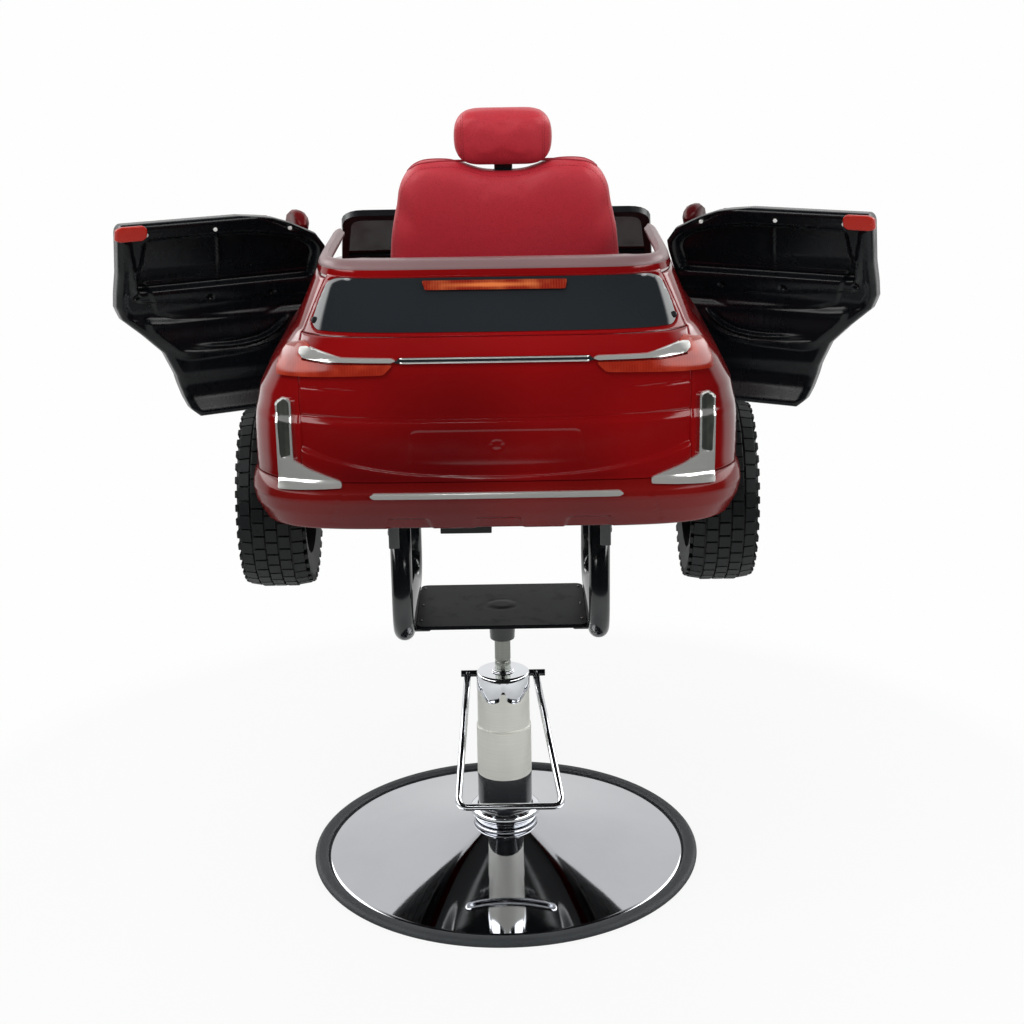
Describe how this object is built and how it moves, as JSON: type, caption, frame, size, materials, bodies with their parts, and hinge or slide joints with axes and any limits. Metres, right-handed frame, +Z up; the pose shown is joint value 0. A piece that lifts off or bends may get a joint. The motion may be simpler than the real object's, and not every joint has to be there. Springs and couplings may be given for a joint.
{
  "type": "hydraulic barber chair",
  "caption": "Child's hydraulic barber chair: a red padded seat in a toy off-road car body with open doors, on a pump column with a round chrome base.",
  "frame": {"origin": "on the floor at the centre of the round base, under the pump axis and under the middle of the bounding box", "axes": "+Z up along the pump axis, +Y towards the nose of the car body, +X to the right of a seated child"},
  "size_m": [1.2068, 1.1549, 1.2328],
  "materials": {
    "chrome": "mirror-bright plated steel",
    "cover_steel": "satin stainless sleeve",
    "ram_steel": "ground steel",
    "base_rubber": "satin black rubber",
    "black_paint": "semi-gloss black enamel",
    "black_plastic": "low-sheen moulded black plastic",
    "wheel_plastic": "matte black moulded tyre and wheel",
    "red_shell": "high-gloss dark red",
    "roof_trim": "gloss grey-red",
    "bright_trim": "chrome-plated plastic",
    "smoked_window": "gloss smoked black",
    "red_lens": "moulded orange-red lens",
    "red_plastic": "gloss orange-red",
    "clear_screen": "clear lightly smoked",
    "red_leather": "grained red artificial leather"
  },
  "bodies": {
    "pump_base": {"base_dome": "chrome", "base_edge": "base_rubber", "base_collar": "chrome", "pump_barrel": "black_paint", "pump_cover": "cover_steel", "pump_cap": "chrome"},
    "pedal": {"pedal_shaft": "black_paint", "pedal_loop": "chrome"},
    "ram": {"ram_rod": "ram_steel", "ram_piston": "black_plastic"},
    "chair": {"swivel_boss": "black_paint", "mount_plate": "black_paint", "side_frame_left": "black_paint", "side_frame_right": "black_paint", "floor_tub": "black_plastic", "battery_box": "black_plastic", "seat_frame": "black_paint", "seat_cushion": "red_leather", "back_cushion": "red_leather", "tailgate": "red_shell", "quarter_panel_left": "red_shell", "quarter_panel_right": "red_shell", "rear_bumper": "red_shell", "roof_frame": "roof_trim", "rear_window": "smoked_window", "high_brake_light": "red_lens", "tail_garnish": "bright_trim", "tail_lamp_left": "red_lens", "tail_lamp_right": "red_lens", "corner_lamp_left": "bright_trim", "corner_lamp_right": "bright_trim", "bumper_strip": "bright_trim", "front_body": "red_shell", "front_fascia": "black_plastic", "windshield_frame": "red_shell", "windshield": "clear_screen", "dashboard": "black_plastic", "hinge_pin_left": "ram_steel", "hinge_pin_right": "ram_steel", "rear_axle": "ram_steel", "front_axle": "ram_steel"},
    "headrest": {"headrest_bar": "black_paint", "headrest_cushion": "red_leather"},
    "steering": {"steering_wheel": "black_plastic"},
    "horn": {"horn_button": "red_plastic"},
    "left_door": {"door_shell_left": "red_shell", "door_trim_left": "black_plastic", "door_mirror_left": "red_shell"},
    "left_latch": {"door_latch_left": "red_plastic"},
    "right_door": {"door_shell_right": "red_shell", "door_trim_right": "black_plastic", "door_mirror_right": "red_shell"},
    "right_latch": {"door_latch_right": "red_plastic"},
    "rear_left_wheel": {"wheel_rear_left": "wheel_plastic"},
    "rear_right_wheel": {"wheel_rear_right": "wheel_plastic"},
    "front_left_wheel": {"wheel_front_left": "wheel_plastic"},
    "front_right_wheel": {"wheel_front_right": "wheel_plastic"}
  },
  "joints": [
    {"name": "height_lift", "type": "slide", "parent": "pump_base", "child": "ram", "axis": [0, 0, 1], "range_m": [-0.045, 0.105]},
    {"name": "seat_swivel", "type": "hinge", "parent": "ram", "child": "chair", "pos_m": [0, 0, 0.41], "axis": [0, 0, 1], "continuous": true},
    {"name": "pump_pedal", "type": "hinge", "parent": "pump_base", "child": "pedal", "pos_m": [0, 0.024, 0.309], "axis": [1, 0, 0], "range_deg": [0, 18], "stiffness_Nm_per_rad": 4, "springref_deg": -14.32},
    {"name": "left_door_hinge", "type": "hinge", "parent": "chair", "child": "left_door", "pos_m": [-0.3, 0.204, 0.865], "axis": [0, 0, -1], "range_deg": [-63, 5]},
    {"name": "right_door_hinge", "type": "hinge", "parent": "chair", "child": "right_door", "pos_m": [0.3, 0.204, 0.865], "axis": [0, 0, 1], "range_deg": [-63, 5]},
    {"name": "left_latch_turn", "type": "hinge", "parent": "left_door", "child": "left_latch", "pos_m": [-0.54264, -0.02906, 1.032], "axis": [-0.4162, 0.8169, 0.3993], "range_deg": [-20, 20]},
    {"name": "right_latch_turn", "type": "hinge", "parent": "right_door", "child": "right_latch", "pos_m": [0.54264, -0.02906, 1.032], "axis": [0.4162, 0.8169, 0.3993], "range_deg": [-20, 20]},
    {"name": "headrest_slide", "type": "slide", "parent": "chair", "child": "headrest", "axis": [0, -0.1045, 0.9945], "range_m": [0, 0.06]},
    {"name": "steering_turn", "type": "hinge", "parent": "chair", "child": "steering", "pos_m": [-0.085, 0.168, 0.958], "axis": [0, -0.8829, 0.4695], "range_deg": [-120, 120]},
    {"name": "horn_push", "type": "slide", "parent": "steering", "child": "horn", "axis": [0, 0.8829, -0.4695], "range_m": [0, 0.003], "stiffness_N_per_m": 400, "springref_m": -0.002},
    {"name": "rear_left_spin", "type": "hinge", "parent": "chair", "child": "rear_left_wheel", "pos_m": [-0.302, -0.328, 0.726], "axis": [1, 0, 0], "continuous": true},
    {"name": "rear_right_spin", "type": "hinge", "parent": "chair", "child": "rear_right_wheel", "pos_m": [0.302, -0.328, 0.726], "axis": [1, 0, 0], "continuous": true},
    {"name": "front_left_spin", "type": "hinge", "parent": "chair", "child": "front_left_wheel", "pos_m": [-0.302, 0.364, 0.726], "axis": [1, 0, 0], "continuous": true},
    {"name": "front_right_spin", "type": "hinge", "parent": "chair", "child": "front_right_wheel", "pos_m": [0.302, 0.364, 0.726], "axis": [1, 0, 0], "continuous": true}
  ]
}
